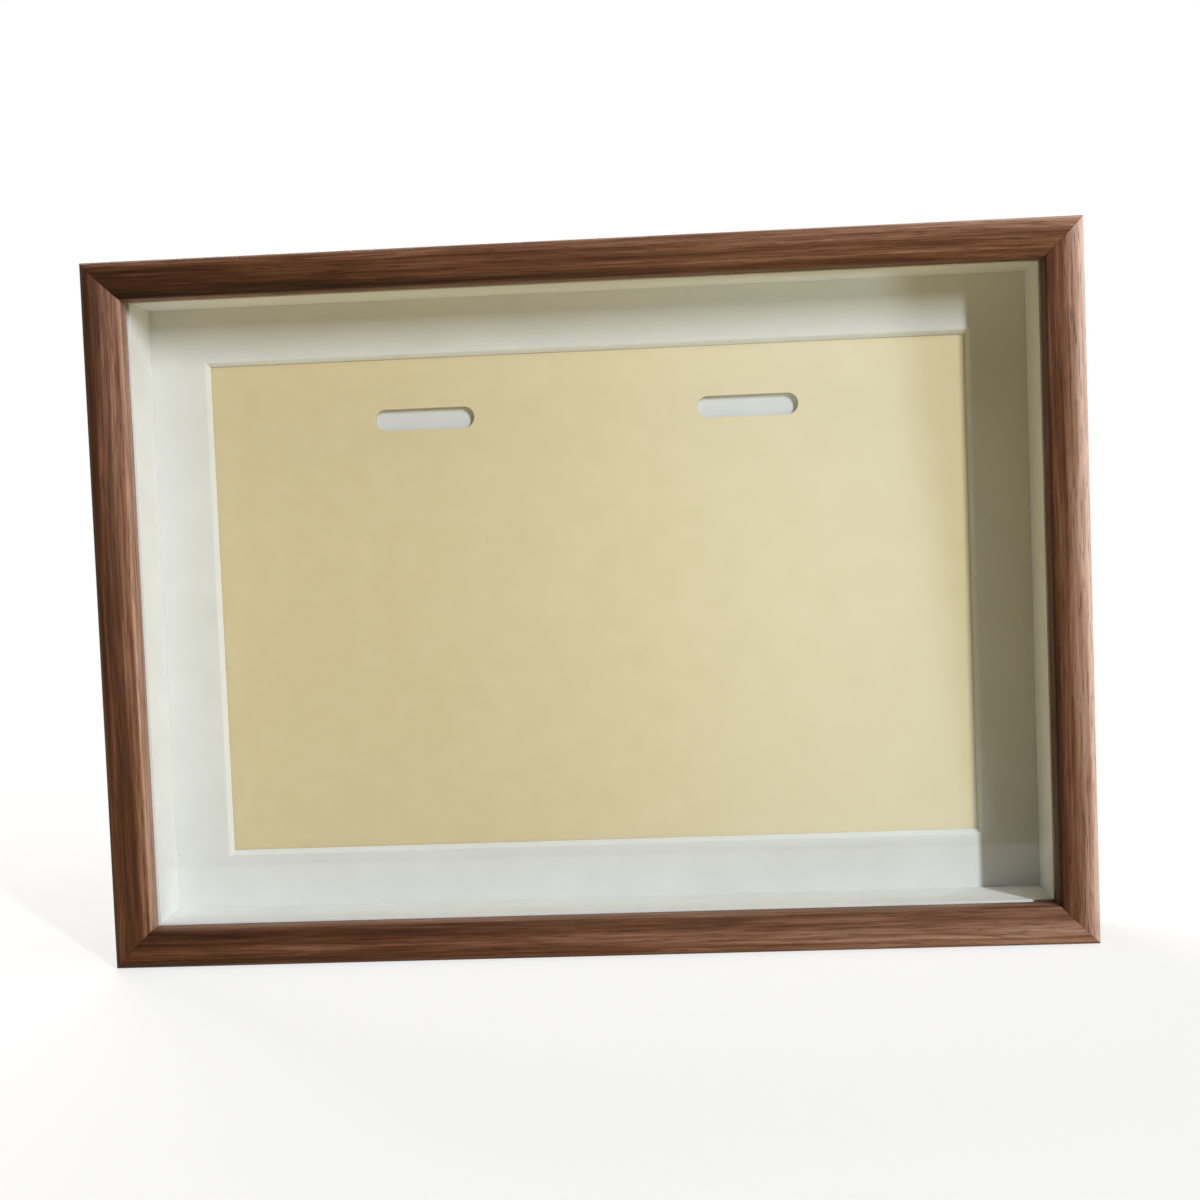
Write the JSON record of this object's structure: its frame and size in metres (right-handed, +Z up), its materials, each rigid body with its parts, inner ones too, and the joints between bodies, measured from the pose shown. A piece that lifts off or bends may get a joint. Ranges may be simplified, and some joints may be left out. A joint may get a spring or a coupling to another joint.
{
  "type": "medal shadow box",
  "caption": "Deep mitred wooden frame with a glass front, white liner, bevelled mat and a slotted board that holds medals by their ribbons; the back lifts out past turn buttons.",
  "frame": {"origin": "middle of the box's footprint on the surface it stands on, at the middle of its overall depth", "axes": "+X along the width, to the right as seen from the front; +Y from the glazing to the back; +Z up"},
  "size_m": [0.312, 0.0454, 0.225],
  "materials": {
    "walnut_rail": "satin walnut veneer",
    "clear_glazing": "polished",
    "white_liner": "matt white paper",
    "white_mat": "matt white paper",
    "cream_board": "matt cream paper",
    "pale_card": "matt",
    "fibreboard": "smooth hardboard",
    "zinc_steel": "zinc plated",
    "rubber_pad": "matt"
  },
  "bodies": {
    "frame": {"bottom_rail": "walnut_rail", "left_rail": "walnut_rail", "top_rail": "walnut_rail", "right_rail": "walnut_rail", "v_nail_lower_left": "zinc_steel", "v_nail_lower_right": "zinc_steel", "v_nail_upper_left": "zinc_steel", "v_nail_upper_right": "zinc_steel", "glazing": "clear_glazing", "bottom_liner": "white_liner", "left_liner": "white_liner", "top_liner": "white_liner", "right_liner": "white_liner", "button_screw_bottom_left": "zinc_steel", "button_screw_bottom_right": "zinc_steel", "button_screw_left": "zinc_steel", "button_screw_right": "zinc_steel", "button_screw_top_left": "zinc_steel", "button_screw_top_right": "zinc_steel", "bumper_pad_bottom_left": "rubber_pad", "bumper_pad_bottom_right": "rubber_pad", "bumper_pad_top_left": "rubber_pad", "bumper_pad_top_right": "rubber_pad"},
    "back_pack": {"window_mat": "white_mat", "medal_board": "cream_board", "backing_card": "pale_card", "back_panel": "fibreboard", "wide_hanger": "zinc_steel", "tall_hanger": "zinc_steel", "wide_hanger_nail_1": "zinc_steel", "wide_hanger_nail_2": "zinc_steel", "tall_hanger_nail_1": "zinc_steel", "tall_hanger_nail_2": "zinc_steel"},
    "turn_button_bottom_left": {"turn_button_bottom_left": "zinc_steel"},
    "turn_button_bottom_right": {"turn_button_bottom_right": "zinc_steel"},
    "turn_button_left": {"turn_button_left": "zinc_steel"},
    "turn_button_right": {"turn_button_right": "zinc_steel"},
    "turn_button_top_left": {"turn_button_top_left": "zinc_steel"},
    "turn_button_top_right": {"turn_button_top_right": "zinc_steel"}
  },
  "joints": [
    {"name": "back_lift_out", "type": "slide", "parent": "frame", "child": "back_pack", "axis": [0, 1, 0], "range_m": [0, 0.08]},
    {"name": "turn_button_bottom_left_swing", "type": "hinge", "parent": "frame", "child": "turn_button_bottom_left", "pos_m": [-0.075, 0.0187, 0.0035], "axis": [0, 1, 0], "range_deg": [-90, 0]},
    {"name": "turn_button_bottom_right_swing", "type": "hinge", "parent": "frame", "child": "turn_button_bottom_right", "pos_m": [0.075, 0.0187, 0.0035], "axis": [0, -1, 0], "range_deg": [-90, 0]},
    {"name": "turn_button_left_swing", "type": "hinge", "parent": "frame", "child": "turn_button_left", "pos_m": [-0.1525, 0.0187, 0.1125], "axis": [0, 1, 0], "range_deg": [-90, 0]},
    {"name": "turn_button_right_swing", "type": "hinge", "parent": "frame", "child": "turn_button_right", "pos_m": [0.1525, 0.0187, 0.1125], "axis": [0, -1, 0], "range_deg": [-90, 0]},
    {"name": "turn_button_top_left_swing", "type": "hinge", "parent": "frame", "child": "turn_button_top_left", "pos_m": [-0.075, 0.0187, 0.2215], "axis": [0, -1, 0], "range_deg": [-90, 0]},
    {"name": "turn_button_top_right_swing", "type": "hinge", "parent": "frame", "child": "turn_button_top_right", "pos_m": [0.075, 0.0187, 0.2215], "axis": [0, 1, 0], "range_deg": [-90, 0]}
  ]
}
